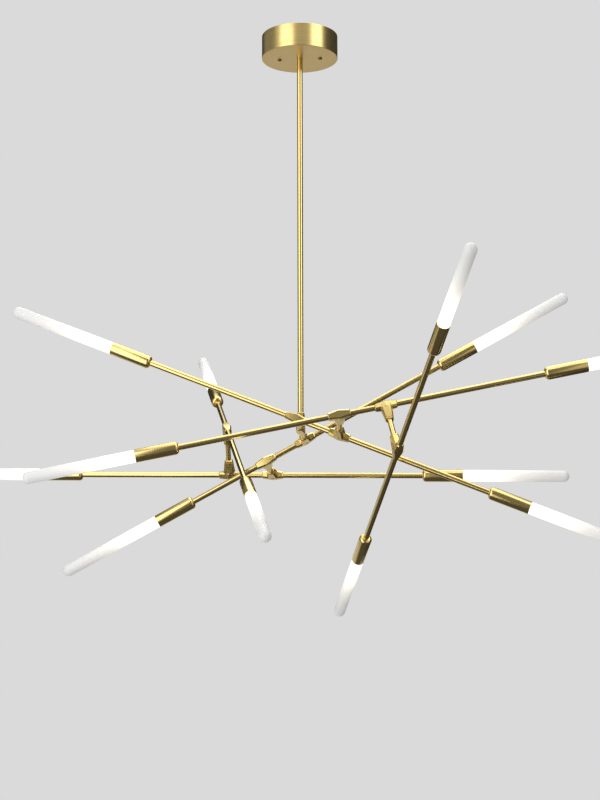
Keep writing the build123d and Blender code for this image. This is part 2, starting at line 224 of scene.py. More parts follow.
class EffectGroups:
    """The shader node groups that several finishes share, each built once."""

    def __init__(self) -> None:
        """Build every group."""
        self.grains = {grain: self.build_grain(grain) for grain in Grain}
        self.handling = self.build_handling()

    @staticmethod
    def new_group(name: str, inputs: dict[str, str], outputs: tuple[str, ...]) -> Graph:
        """Make an empty group with its sockets.

        Args:
            name: The group's name.
            inputs: Input names and socket types.
            outputs: Names of the value outputs.

        Returns:
            The group's graph.
        """
        tree = bpy.data.node_groups.new(name, "ShaderNodeTree")
        for label, kind in inputs.items():
            tree.interface.new_socket(name=label, in_out="INPUT", socket_type=kind)
        for label in outputs:
            tree.interface.new_socket(name=label, in_out="OUTPUT", socket_type="NodeSocketFloat")
        return Graph(tree)

    def build_grain(self, grain: Grain) -> bpy.types.NodeTree:
        """Fine brushed lines, along a piece's local Z axis or around it.

        Args:
            grain: The way the lines run.

        Returns:
            A group with a Streak mask and a Height.
        """
        graph = self.new_group(
            grain.value,
            {"Vector": "NodeSocketVector", "Pitch": "NodeSocketFloat", "Length": "NodeSocketFloat"},
            ("Streak", "Height"),
        )
        source = graph.node("NodeGroupInput")
        parts = graph.feed(graph.node("ShaderNodeSeparateXYZ"), Vector=source.outputs["Vector"])
        x, y, z = parts.outputs
        pitch = graph.math("DIVIDE", 1.0, source.outputs["Pitch"])
        length = graph.math("DIVIDE", 1.0, source.outputs["Length"])
        if grain is Grain.ALONG:
            steps = (
                graph.math("MULTIPLY", x, pitch),
                graph.math("MULTIPLY", y, pitch),
                graph.math("MULTIPLY", z, length),
            )
        else:
            squares = graph.math("ADD", graph.math("POWER", x, 2.0), graph.math("POWER", y, 2.0))
            radius = graph.math("SQRT", squares)
            angle = graph.math("ABSOLUTE", graph.math("ARCTAN2", y, x))
            steps = (
                graph.math("MULTIPLY", radius, pitch),
                graph.math("MULTIPLY", z, pitch),
                graph.math("MULTIPLY", angle, graph.math("MULTIPLY", length, radius)),
            )
        place = graph.feed(graph.node("ShaderNodeCombineXYZ"), **dict(zip("XYZ", steps)))
        fine = graph.node("ShaderNodeTexNoise")
        graph.feed(fine, Vector=place.outputs[0], Scale=1.0, Detail=3.0, Roughness=0.6)
        broad = graph.node("ShaderNodeTexNoise")
        graph.feed(broad, Vector=place.outputs[0], Scale=BROAD_SCALE, Detail=2.0, Roughness=0.5)
        streak = graph.math(
            "ADD",
            graph.math("MULTIPLY", fine.outputs["Fac"], FINE_SHARE),
            graph.math("MULTIPLY", broad.outputs["Fac"], 1 - FINE_SHARE),
        )
        sharp = graph.node("ShaderNodeMapRange")
        low, high = STREAK_RANGE
        graph.feed(sharp, Value=streak, From_Min=low, From_Max=high)
        sink = graph.node("NodeGroupOutput")
        graph.feed(sink, Streak=sharp.outputs["Result"], Height=fine.outputs["Fac"])
        return graph.tree

    def build_handling(self) -> bpy.types.NodeTree:
        """Slow cloudy change of the lacquer from polishing and handling.

        Returns:
            A group with a Cloud mask and a Speck mask.
        """
        graph = self.new_group(
            "handling",
            {"Vector": "NodeSocketVector", "Size": "NodeSocketFloat"},
            ("Cloud", "Speck"),
        )
        source = graph.node("NodeGroupInput")
        scale = graph.math("DIVIDE", 1.0, source.outputs["Size"])
        cloud = graph.node("ShaderNodeTexNoise")
        graph.feed(cloud, Vector=source.outputs["Vector"], Scale=scale, Detail=4.0, Roughness=0.55)
        speck = graph.node("ShaderNodeTexNoise")
        fine_scale = graph.math("MULTIPLY", scale, SPECKS_PER_CLOUD)
        graph.feed(speck, Vector=source.outputs["Vector"], Scale=fine_scale, Detail=1.0)
        dots = graph.node("ShaderNodeMapRange")
        low, high = SPECK_RANGE
        graph.feed(dots, Value=speck.outputs["Fac"], From_Min=low, From_Max=high)
        sink = graph.node("NodeGroupOutput")
        graph.feed(sink, Cloud=cloud.outputs["Fac"], Speck=dots.outputs["Result"])
        return graph.tree


# --- finishes --------------------------------------------------------------------------------


class Place(Enum):
    """Where a finish reads its coordinates."""

    LOCAL = "the piece's own frame, kept as an attribute"
    OBJECT = "the chandelier's frame"

    def read(self, graph: Graph) -> bpy.types.NodeSocket:
        """The coordinates that a finish's pattern follows.

        Args:
            graph: The material's graph.

        Returns:
            A vector socket, in metres.
        """
        if self is Place.LOCAL:
            return graph.node("ShaderNodeAttribute", attribute_name=LOCAL).outputs["Vector"]
        return graph.node("ShaderNodeTexCoord").outputs["Object"]


@dataclass(frozen=True)
class BrushedMetal:
    """Brushed metal under lacquer: fine lines, cloudy gloss and a slight colour change."""

    name: str
    light: tuple[float, float, float]
    deep: tuple[float, float, float]
    gloss: tuple[float, float]
    grain: Grain
    pitch: float
    length: float
    relief: float
    place: Place = Place.LOCAL
    anisotropy: float = 0.0
    clouds: float = 30.0 * MM

    def material(self, effects: EffectGroups) -> bpy.types.Material:
        """Build the material.

        Args:
            effects: The shared node groups.

        Returns:
            The finished material.
        """
        material, graph = new_material(self.name)
        where = self.place.read(graph)
        grain = graph.node("ShaderNodeGroup", node_tree=effects.grains[self.grain])
        graph.feed(grain, Vector=where, Pitch=self.pitch, Length=self.length)
        handling = graph.node("ShaderNodeGroup", node_tree=effects.handling)
        graph.feed(handling, Vector=where, Size=self.clouds)
        streak = grain.outputs["Streak"]
        cloud = handling.outputs["Cloud"]
        share = graph.math("MULTIPLY", graph.math("ADD", streak, cloud), 0.5)
        colour = graph.blend(share, (*self.deep, 1.0), (*self.light, 1.0))
        low, high = self.gloss
        rough = graph.remap(share, high, low)
        bump = graph.node("ShaderNodeBump")
        graph.feed(bump, Height=grain.outputs["Height"], Strength=self.relief, Distance=RELIEF_DEPTH)
        shader = graph.node("ShaderNodeBsdfPrincipled")
        graph.feed(
            shader,
            Base_Color=colour,
            Roughness=rough,
            Metallic=1.0,
            Anisotropic=self.anisotropy,
            Anisotropic_Rotation=0.25,
            Normal=bump.outputs["Normal"],
        )
        graph.show("Material", shader)
        return material


@dataclass(frozen=True)
class FrostedGlass:
    """Acid-frosted glass, lit from inside near its mouth and fading towards its tip."""

    name: str
    body: tuple[float, float, float] = (0.85, 0.85, 0.845)
    glow_colour: tuple[float, float, float] = (1.0, 0.9, 0.72)
    glow: float = 1.1
    lit_until: float = 60.0 * MM
    fading: float = 38.0 * MM
    grit: float = 4.0 * MM
    tooth: float = 0.03
    roughness: tuple[float, float] = (0.44, 0.56)

    def material(self, effects: EffectGroups) -> bpy.types.Material:
        """Build the material.

        Args:
            effects: The shared node groups.

        Returns:
            The finished material.
        """
        material, graph = new_material(self.name)
        where = Place.LOCAL.read(graph)
        height = graph.feed(graph.node("ShaderNodeSeparateXYZ"), Vector=where).outputs["Z"]
        beyond = graph.math("MAXIMUM", graph.math("SUBTRACT", height, self.lit_until), 0.0)
        share = graph.math("EXPONENT", graph.math("DIVIDE", beyond, -self.fading))
        glow = graph.blend(share, neutral(0.0), (*self.glow_colour, 1.0))
        handling = graph.node("ShaderNodeGroup", node_tree=effects.handling)
        graph.feed(handling, Vector=where, Size=self.grit)
        frost = graph.node("ShaderNodeBump")
        graph.feed(frost, Height=handling.outputs["Cloud"], Strength=self.tooth, Distance=RELIEF_DEPTH)
        rough = graph.remap(handling.outputs["Cloud"], *self.roughness)
        shader = graph.node("ShaderNodeBsdfPrincipled")
        graph.feed(
            shader,
            Base_Color=(*self.body, 1.0),
            Roughness=rough,
            Emission_Color=glow,
            Emission_Strength=self.glow,
            Normal=frost.outputs["Normal"],
        )
        graph.show("Material", shader)
        return material


@dataclass(frozen=True)
class Ceramic:
    """Dull fired ceramic or moulded insulator with a fine tooth."""

    name: str
    colour: tuple[float, float, float]
    shade: tuple[float, float, float]
    roughness: tuple[float, float] = (0.45, 0.62)
    clouds: float = 8.0 * MM
    tooth: float = 0.15
    glow: float = 0.0

    def material(self, effects: EffectGroups) -> bpy.types.Material:
        """Build the material.

        Args:
            effects: The shared node groups.

        Returns:
            The finished material.
        """
        material, graph = new_material(self.name)
        where = Place.OBJECT.read(graph)
        handling = graph.node("ShaderNodeGroup", node_tree=effects.handling)
        graph.feed(handling, Vector=where, Size=self.clouds)
        cloud = handling.outputs["Cloud"]
        colour = graph.blend(cloud, (*self.shade, 1.0), (*self.colour, 1.0))
        bump = graph.node("ShaderNodeBump")
        graph.feed(bump, Height=handling.outputs["Speck"], Strength=self.tooth, Distance=RELIEF_DEPTH)
        shader = graph.node("ShaderNodeBsdfPrincipled")
        graph.feed(
            shader,
            Base_Color=colour,
            Roughness=graph.remap(cloud, *self.roughness),
            Normal=bump.outputs["Normal"],
            Emission_Color=(*self.colour, 1.0),
            Emission_Strength=self.glow,
        )
        graph.show("Material", shader)
        return material


BRASS_LIGHT = (0.82, 0.635, 0.255)
BRASS_DEEP = (0.74, 0.545, 0.19)


class Finishes:
    """Every material of the chandelier, built once."""

    def __init__(self) -> None:
        """Build the shared groups and the materials."""
        effects = EffectGroups()
        self.tube = BrushedMetal(
            "tube_brass", BRASS_LIGHT, BRASS_DEEP, (0.16, 0.20), Grain.ALONG, 0.0016, 0.3, 0.01
        ).material(effects)
        self.socket = BrushedMetal(
            "socket_brass", BRASS_LIGHT, BRASS_DEEP, (0.18, 0.24), Grain.ALONG, 0.0016, 0.12, 0.02
        ).material(effects)
        self.tee = BrushedMetal(
            "tee_brass", (0.80, 0.61, 0.23), (0.71, 0.53, 0.18), (0.19, 0.27), Grain.ALONG,
            0.0016, 0.012, 0.02,
        ).material(effects)
        self.canopy = BrushedMetal(
            "canopy_brass", (0.90, 0.71, 0.31), (0.56, 0.40, 0.13), (0.24, 0.36), Grain.AROUND,
            0.0022, 0.4, 0.14, anisotropy=0.35,
        ).material(effects)
        self.canopy_face = BrushedMetal(
            "canopy_face_brass",
            (0.80, 0.60, 0.25), (0.74, 0.54, 0.21), (0.34, 0.42), Grain.AROUND,
            0.0016, 0.25, 0.03,
        ).material(effects)
        # Screw heads in dark brass: painted shade, standing in for the dark gap round each head.
        self.screw = BrushedMetal(
            "screw_brass", (0.40, 0.29, 0.12), (0.26, 0.18, 0.07), (0.22, 0.34), Grain.AROUND,
            0.0008, 0.02, 0.05,
        ).material(effects)
        self.glass = FrostedGlass("frosted_glass").material(effects)
        self.holder = Ceramic(
            "lampholder_ceramic", (0.8, 0.78, 0.73), (0.66, 0.63, 0.58)
        ).material(effects)
        self.lamp = Ceramic(
            "lamp_envelope", (1.0, 0.9, 0.76), (0.95, 0.86, 0.74), glow=0.8
        ).material(effects)
        self.zinc = BrushedMetal(
            "zinc_steel", (0.46, 0.47, 0.49), (0.35, 0.36, 0.39), (0.3, 0.45), Grain.ALONG,
            0.0015, 0.01, 0.08, Place.OBJECT,
        ).material(effects)


# --- mesh building ---------------------------------------------------------------------------


def arc(centre: tuple[float, float], radius: float, start: float, end: float, steps: int) -> list:
    """Points along an arc in an outline.

    Args:
        centre: Radius and height of the arc's centre.
        radius: The arc's radius.
        start: Start angle in degrees, from the outward direction.
        end: End angle in degrees.
        steps: Number of spans.

    Returns:
        Points as (radius, height).
    """
    angles = [math.radians(start + (end - start) * step / steps) for step in range(steps + 1)]
    return [(centre[0] + radius * math.cos(a), centre[1] + radius * math.sin(a)) for a in angles]


@dataclass(frozen=True)
class Spot:
    """A place with a direction: local Z along it and local X across it."""

    origin: Vector
    along: Vector
    across: Vector

    def matrix(self) -> Matrix:
        """The transform from a piece's own frame to this place."""
        z = self.along.normalized()
        x = (self.across - z * self.across.dot(z)).normalized()
        y = z.cross(x)
        turned = Matrix((x, y, z)).transposed().to_4x4()
        return Matrix.Translation(self.origin) @ turned

    def moved(self, distance: float) -> "Spot":
        """The same place, further along by a distance in metres."""
        return Spot(self.origin + self.along * distance, self.along, self.across)


class Workpiece:
    """A mesh that is shaped in its own frame and then set in its place."""

    def __init__(self, name: str) -> None:
        """Start an empty piece.

        Args:
            name: The piece's name.
        """
        self.name = name
        self.bm = bmesh.new()

    @staticmethod
    def held(outline: list[tuple[float, float]], reach: float = 0.4 * MM) -> list[tuple[float, float]]:
        """Add points close to the ends of long straight runs, which keep their shading straight.

        Args:
            outline: (radius, height) points.
            reach: Distance of the added points from the ends.

        Returns:
            The outline with the added points.
        """
        points = [outline[0]]
        for start, end in zip(outline, outline[1:]):
            length = math.dist(start, end)
            if length > LONG_RUN * reach:
                for share in (reach / length, 1 - reach / length):
                    points.append(tuple(a + (b - a) * share for a, b in zip(start, end)))
            points.append(end)
        return points

    def turn(self, outline: list[tuple[float, float]], steps: int = 48) -> "Workpiece":
        """Spin an outline about the local Z axis, as on a lathe.

        Args:
            outline: (radius, height) points. It is closed unless both ends lie on the axis.
            steps: Number of facets round.

        Returns:
            This piece.
        """
        verts = [self.bm.verts.new((radius, 0.0, height)) for radius, height in self.held(outline)]
        edges = [self.bm.edges.new(pair) for pair in zip(verts, verts[1:])]
        if outline[0][0] > 0 or outline[-1][0] > 0:
            edges.append(self.bm.edges.new((verts[-1], verts[0])))
        bmesh.ops.spin(
            self.bm,
            geom=verts + edges,
            cent=(0, 0, 0),
            axis=(0, 0, 1),
            angle=math.tau,
            steps=steps,
            use_merge=True,
        )
        bmesh.ops.remove_doubles(self.bm, verts=self.bm.verts, dist=WELD)
        bmesh.ops.recalc_face_normals(self.bm, faces=self.bm.faces)
        return self

    def soften(self, width: float, angle: float = 30.0) -> "Workpiece":
        """Round every edge that is sharper than an angle.

        Args:
            width: Width of the rounding.
            angle: Smallest angle between two faces that is rounded, in degrees.

        Returns:
            This piece.
        """
        limit = math.radians(angle)
        sharp = [e for e in self.bm.edges if len(e.link_faces) == 2 and e.calc_face_angle() > limit]
        bmesh.ops.bevel(
            self.bm,
            geom=sharp,
            offset=width,
            offset_type="OFFSET",
            affect="EDGES",
            segments=EDGE_SPANS,
            profile=0.5,
            material=-1,
            clamp_overlap=True,
        )
        return self

    def mesh(self) -> bpy.types.Mesh:
        """Turn the shape into a mesh and free the working copy."""
        mesh = bpy.data.meshes.new(self.name)
        self.bm.to_mesh(mesh)
        self.bm.free()
        return mesh

    def set_in_place(
        self, spot: Spot, dress: "Dress", mesh: bpy.types.Mesh | None = None, crease: float = 25.0
    ) -> bpy.types.Object:
        """Put the piece in its place, dress it and let it ride on its body.

        Args:
            spot: Where it goes.
            dress: Its finish, body and the nodes it stands for.
            mesh: A mesh in the piece's own frame, if it isn't this piece's own.
            crease: Angle in degrees above which an edge stays sharp.

        Returns:
            The finished object.
        """
        mesh = mesh or self.mesh()
        local = mesh.attributes.new(LOCAL, "FLOAT_VECTOR", "POINT")
        for vertex, entry in zip(mesh.vertices, local.data):
            entry.vector = vertex.co
        mesh.transform(spot.matrix())
        mesh.shade_smooth()
        mesh.set_sharp_from_angle(angle=math.radians(crease))
        mesh.materials.append(dress.material)
        piece = bpy.data.objects.new(self.name, mesh)
        bpy.context.scene.collection.objects.link(piece)
        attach(piece, dress.body)
        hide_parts(*dress.nodes)
        log.info("%s: %d faces, rides on %s", self.name, len(mesh.polygons), dress.body)
        return piece


@dataclass(frozen=True)
class Dress:
    """What a finished piece wears and what it stands for."""

    material: bpy.types.Material
    slot: str
    body: str
    nodes: tuple[str, ...]


# --- layout ----------------------------------------------------------------------------------


class Layout:
    """Places that the frame gives: hinges and the middles of rods."""

    def __init__(self, joints: list[dict]) -> None:
        """Keep the joints by name.

        Args:
            joints: The frame's joints.
        """
        self.joints = {joint["name"]: joint for joint in joints}

    def hinge(self, name: str) -> Vector:
        """Where a hinge is, in metres."""
        return Vector(self.joints[name]["pos_m"])

    def axis(self, name: str) -> Vector:
        """Which way a hinge points."""
        return Vector(self.joints[name]["axis"]).normalized()

    @staticmethod
    def middle(node: str) -> Vector:
        """The middle of a node's box."""
        low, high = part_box(node)
        return (low + high) / 2


class Side(Enum):
    """The way an arm's two ends are named."""

    LEFT_RIGHT = ("left", "right")
    UPPER_LOWER = ("upper", "lower")


# --- sub-assemblies --------------------------------------------------------------------------


def as_object(name: str, bm: bmesh.types.BMesh) -> bpy.types.Object:
    """Keep a working mesh in an object.

    Args:
        name: The object's name.
        bm: The mesh, which is freed.

    Returns:
        The object.
    """
    mesh = bpy.data.meshes.new(name)
    bm.to_mesh(mesh)
    bm.free()
    made = bpy.data.objects.new(name, mesh)
    bpy.context.scene.collection.objects.link(made)
    return made


def joined(body: bpy.types.Object, tools: list, edge: float) -> bpy.types.Mesh:
    """Add and cut solids, then break the edges.

    Args:
        body: The scratch object to work on.
        tools: (operation, scratch object) pairs, in order.
        edge: Width of the broken edges.

    Returns:
        The finished mesh. The scratch objects are gone.
    """
    for operation, tool in tools:
        step = body.modifiers.new(operation, "BOOLEAN")
        step.operation = operation
        step.object = tool
        step.solver = "EXACT"
        step.use_self = True
    rounding = body.modifiers.new("edges", "BEVEL")
    rounding.width = edge
    rounding.segments = EDGE_SPANS
    rounding.limit_method = "ANGLE"
    rounding.angle_limit = math.radians(EDGE_ANGLE)
    rounding.use_clamp_overlap = True
    graph = bpy.context.evaluated_depsgraph_get()
    mesh = bpy.data.meshes.new_from_object(body.evaluated_get(graph))
    mesh.name = body.name
    for scratch in [body] + [tool for _, tool in tools]:
        bpy.data.objects.remove(scratch)
    return mesh


@dataclass
class Tee:
    """Faceted tee: an octagonal bar and a tapering octagonal stem, with bores and a seam."""

    bar_half: float = 21.3 * MM
    bar_bevel: float = 1.5 * MM
    bar_middle: tuple = (18.0 * MM, 14.5 * MM, 2.0 * MM)
    bar_end: tuple = (13.0 * MM, 13.0 * MM, 2.7 * MM)
    bar_tip: tuple = (10.8 * MM, 10.8 * MM, 2.2 * MM)
    stem_root: tuple = (24.0 * MM, 17.0 * MM, 3.8 * MM)
    stem_end: tuple = (15.5 * MM, 14.5 * MM, 2.8 * MM)
    stem_tip: tuple = (13.4 * MM, 12.4 * MM, 2.4 * MM)
    stem_length: float = 33.0 * MM
    stem_bevel: float = 1.2 * MM
    seam_height: float = 28.6 * MM
    seam_width: float = 0.7 * MM
    seam_inset: float = 1.7 * MM
    seat_depth: float = 20.0 * MM
    edge: float = 0.35 * MM
    crease: float = 8.0
    bore_facets: int = 40

    @staticmethod
    def octagon(bm: bmesh.types.BMesh, section: tuple, place: Matrix) -> list:
        """Add a ring: a rectangle with cut corners.

        Args:
            bm: The mesh to add to.
            section: Width, height and corner cut.
            place: Where the ring's plane is.

        Returns:
            The ring's edges.
        """
        width, height, cut = section
        x, y = width / 2, height / 2
        corners = (
            (x, y - cut), (x - cut, y), (cut - x, y), (-x, y - cut),
            (-x, cut - y), (cut - x, -y), (x - cut, -y), (x, cut - y),
        )
        verts = [bm.verts.new(place @ Vector((a, b, 0.0))) for a, b in corners]
        return [bm.edges.new((verts[i], verts[(i + 1) % len(verts)])) for i in range(len(verts))]

    def loft(self, name: str, rings: list) -> bpy.types.Object:
        """Join rings into a closed solid.

        Args:
            name: The solid's name.
            rings: (section, place) pairs, in order.

        Returns:
            An object that holds the solid.
        """
        bm = bmesh.new()
        loops = [self.octagon(bm, section, place) for section, place in rings]
        for first, second in zip(loops, loops[1:]):
            bmesh.ops.bridge_loops(bm, edges=first + second)
        bmesh.ops.holes_fill(bm, edges=bm.edges, sides=8)
        bmesh.ops.recalc_face_normals(bm, faces=bm.faces)
        return as_object(name, bm)

    def cutter(self, name: str, radius: float, length: float, place: Matrix) -> bpy.types.Object:
        """A round cutter for a bore.

        Args:
            name: Its name.
            radius: Its radius.
            length: Its length.
            place: The middle of the bore, with Z along it.

        Returns:
            A scratch object.
        """
        bm = bmesh.new()
        bmesh.ops.create_cone(
            bm,
            cap_ends=True,
            segments=self.bore_facets,
            radius1=radius,
            radius2=radius,
            depth=length,
            matrix=place,
        )
        return as_object(name, bm)

    def stem_section(self, height: float, inset: float = 0.0) -> tuple:
        """The stem's section between its root and its end.

        Args:
            height: Height above the bar's axis.
            inset: How much smaller the section is, across.

        Returns:
            Width, height and corner cut.
        """
        share = height / (self.stem_length - self.stem_bevel)
        return tuple(
            root + (end - root) * share - less
            for root, end, less in zip(self.stem_root, self.stem_end, (inset, inset, inset / 4))
        )

    def shape(self, name: str, bar_bore: float, stem_bore: float) -> bpy.types.Mesh:
        """Build the tee in its own frame: X along the bar and Z up the stem.

        Args:
            name: The piece's name.
            bar_bore: Radius of the bar's bore.
            stem_bore: Radius of the stem's bore.

        Returns:
            The finished mesh.
        """
        quarter = math.radians(90)
        across = Matrix.Rotation(quarter, 4, "Z") @ Matrix.Rotation(quarter, 4, "X")
        inner = self.bar_half - self.bar_bevel
        bar_rings = [
            (section, Matrix.Translation((along, 0, 0)) @ across)
            for along, section in (
                (-self.bar_half, self.bar_tip),
                (-inner, self.bar_end),
                (0.0, self.bar_middle),
                (inner, self.bar_end),
                (self.bar_half, self.bar_tip),
            )
        ]
        seam_top = self.seam_height + self.seam_width
        stem_rings = [
            (section, Matrix.Translation((0, 0, up)))
            for up, section in (
                (0.0, self.stem_root),
                (self.seam_height, self.stem_section(self.seam_height)),
                (self.seam_height, self.stem_section(self.seam_height, self.seam_inset)),
                (seam_top, self.stem_section(seam_top, self.seam_inset)),
                (seam_top, self.stem_section(seam_top)),
                (self.stem_length - self.stem_bevel, self.stem_end),
                (self.stem_length, self.stem_tip),
            )
        ]
        body = self.loft(name, bar_rings)
        sideways = Matrix.Rotation(quarter, 4, "Y")
        upright = Matrix.Translation((0, 0, self.stem_length - self.seat_depth / 2 + MM / 2))
        tools = [
            ("UNION", self.loft("tee_stem", stem_rings)),
            ("DIFFERENCE", self.cutter("bar_bore", bar_bore, 3 * self.bar_half, sideways)),
            ("DIFFERENCE", self.cutter("stem_bore", stem_bore, self.seat_depth + MM, upright)),
        ]
        return joined(body, tools, self.edge)


@dataclass
class LampEnd:
    """A socket cup, a frosted glass tube and what is seen of them from outside."""

    socket_radius: float = 12.35 * MM
    socket_length: float = 81.5 * MM
    back_round: float = 6.6 * MM
    back_wall: float = 12.0 * MM
    edge_break: float = 0.2 * MM
    tube_radius: float = 5.5 * MM
    cavity_radius: float = 10.9 * MM
    seat_depth: float = 20.0 * MM
    seat_gap: float = 0.1 * MM
    rim_bevel: float = 0.3 * MM
    glass_radius: float = 11.5 * MM
    glass_wall: float = 2.0 * MM
    glass_length: float = 210.0 * MM
    glass_seated: float = 18.0 * MM
    softening: float = 0.15 * MM
    socket_facets: int = 64
    glass_facets: int = 48
    arc_steps: int = 14
    inner_arc_steps: int = 12
    lip_steps: int = 6

    def build_socket(self, name: str, mouth: Spot, dress: Dress) -> bpy.types.Object:
        """Turn the socket cup.

        Args:
            name: The piece's name.
            mouth: The socket's mouth, facing outwards.
            dress: What it wears.

        Returns:
            The finished socket.
        """
        back = -self.socket_length
        flat = self.socket_radius - self.back_round
        seat = self.glass_radius + self.seat_gap
        outline = arc((flat, back + self.back_round), self.back_round, 0, -90, self.arc_steps)
        outline += [
            (self.tube_radius, back + self.edge_break),
            (self.tube_radius, back + self.back_wall),
            (self.cavity_radius, back + self.back_wall),
            (self.cavity_radius, -self.seat_depth),
            (seat, -self.seat_depth),
            (seat, 0.0),
            (self.socket_radius - self.rim_bevel, 0.0),
            (self.socket_radius, -self.rim_bevel),
        ]
        piece = Workpiece(name).turn(outline, self.socket_facets).soften(self.softening, 40.0)
        return piece.set_in_place(mouth, dress)

    def build_glass(self, name: str, mouth: Spot, dress: Dress) -> bpy.types.Object:
        """Turn the closed glass tube, with an even wall and a domed tip.

        Args:
            name: The piece's name.
            mouth: The socket's mouth, facing outwards.
            dress: What it wears.

        Returns:
            The finished glass.
        """
        dome = self.glass_length - self.glass_radius
        inner = self.glass_radius - self.glass_wall
        lip = self.glass_wall / 2
        middle = self.glass_radius - lip
        outline = arc((0.0, dome), self.glass_radius, 90, 0, self.arc_steps)
        outline += arc((middle, lip - self.glass_seated), lip, 0, -180, self.lip_steps)
        outline += arc((0.0, dome), inner, 0, 90, self.inner_arc_steps)
        outline[0] = (0.0, self.glass_length)
        outline[-1] = (0.0, dome + inner)
        return Workpiece(name).turn(outline, self.glass_facets).set_in_place(mouth, dress)


@dataclass
class Rod:
    """A hollow straight rod with softened ends."""

    radius: float
    bore: float
    softening: float = 0.2 * MM
    facets: int = 40

    def build(self, name: str, start: Spot, length: float, dress: Dress) -> bpy.types.Object:
        """Turn the rod.

        Args:
            name: The piece's name.
            start: Its lower end, pointing along it.
            length: Its length.
            dress: What it wears.

        Returns:
            The finished rod.
        """
        outline = [(self.bore, 0.0), (self.radius, 0.0), (self.radius, length), (self.bore, length)]
        piece = Workpiece(name).turn(outline, self.facets).soften(self.softening)
        return piece.set_in_place(start, dress)


@dataclass
class Arm:
    """A double-ended arm: tube, tees, link rod, sockets and glass."""

    name: str
    layout: Layout
    side: Side
    before: Vector
    reaches: tuple[float, float]
    lamp_end: LampEnd = field(default_factory=LampEnd)
    tee: Tee = field(default_factory=Tee)
    tube: Rod = field(default_factory=lambda: Rod(5.5 * MM, 4.5 * MM))
    link: Rod = field(default_factory=lambda: Rod(5.0 * MM, 3.8 * MM))
    running_gap: float = 0.05 * MM
    end_gap: float = 0.1 * MM

    def __post_init__(self) -> None:
        """Work out the arm's centre, direction and tees from the frame."""
        self.carrier = self.layout.hinge(f"{self.name}_swing")
        direction = self.layout.axis(f"{self.name}_twist")
        forwards = direction.x > 0 if self.side is Side.LEFT_RIGHT else direction.z < 0
        self.direction = direction if forwards else -direction
        self.carrier_stem = (self.before - self.carrier).normalized()
        self.branch = None
        self.branch_stem = None

    def add_branch(self, next_carrier: Vector) -> Vector:
        """Find the branch tee from its link rod and the tee that the rod carries.

        Args:
            next_carrier: Centre of the next arm's carrier tee.

        Returns:
            Centre of the branch tee.
        """
        middle = self.layout.middle(f"{self.name}_link_rod")
        self.branch = middle * 2 - next_carrier
        self.branch_stem = (next_carrier - middle).normalized()
        return self.branch

    def mouths(self) -> tuple[Spot, Spot]:
        """The two socket mouths, facing outwards."""
        tees = [self.carrier] if self.branch is None else [self.carrier, self.branch]
        tees.sort(key=lambda centre: centre.dot(self.direction))
        low = tees[0] - self.direction * self.reaches[0]
        high = tees[-1] + self.direction * self.reaches[1]
        return (
            Spot(low, -self.direction, self.carrier_stem),
            Spot(high, self.direction, self.carrier_stem),
        )

    def build_tee(
        self, role: str, centre: Vector, stem: Vector, body: str, gap: float, finishes: Finishes
    ) -> None:
        """Build one of the arm's tees.

        Args:
            role: carrier or branch.
            centre: The tee's centre.
            stem: The way its stem points.
            body: The body it rides on.
            gap: Running clearance of its bores.
            finishes: The materials.
        """
        node = f"{self.name}_{role}_tee"
        name = f"{self.name}_{role}_joint"
        mesh = self.tee.shape(name, self.tube.radius + gap, self.link.radius + gap)
        dress = Dress(finishes.tee, "tee_brass", body, (node,))
        spot = Spot(centre, stem, self.direction)
        Workpiece(name).set_in_place(spot, dress, mesh, self.tee.crease)

    def build(self, finishes: Finishes) -> None:
        """Build every visible piece of the arm.

        Args:
            finishes: The materials.
        """
        body = f"{self.name}_arm"
        low, high = self.mouths()
        inset = self.lamp_end.socket_length - self.lamp_end.back_wall
        span = (high.origin - low.origin).length - 2 * inset
        start = Spot(low.origin + self.direction * inset, self.direction, self.carrier_stem)
        tube_dress = Dress(finishes.tube, "tube_brass", body, (f"{self.name}_tube",))
        self.tube.build(f"{self.name}_arm_tube", start, span, tube_dress)
        carrier = f"{self.name}_carrier"
        self.build_tee(
            "carrier", self.carrier, self.carrier_stem, carrier, self.running_gap, finishes
        )
        if self.branch is not None:
            self.build_tee("branch", self.branch, self.branch_stem, body, 0.0, finishes)
            seat = self.tee.stem_length - self.tee.seat_depth
            middle = self.layout.middle(f"{self.name}_link_rod")
            rod_length = 2 * ((middle - self.branch).length - seat) - self.end_gap
            rod_start = Spot(self.branch, self.branch_stem, self.direction).moved(seat)
            rod_dress = Dress(finishes.tube, "tube_brass", body, (f"{self.name}_link_rod",))
            self.link.build(f"{self.name}_link", rod_start, rod_length, rod_dress)
        for end, mouth in zip(self.side.value, (low, high)):
            socket = Dress(finishes.socket, "socket_brass", body, (f"{self.name}_socket_{end}",))
            self.lamp_end.build_socket(f"{self.name}_cup_{end}", mouth, socket)
            glass = Dress(finishes.glass, "frosted_glass", body, (f"{self.name}_glass_tubes",))
            self.lamp_end.build_glass(f"{self.name}_glass_{end}", mouth, glass)


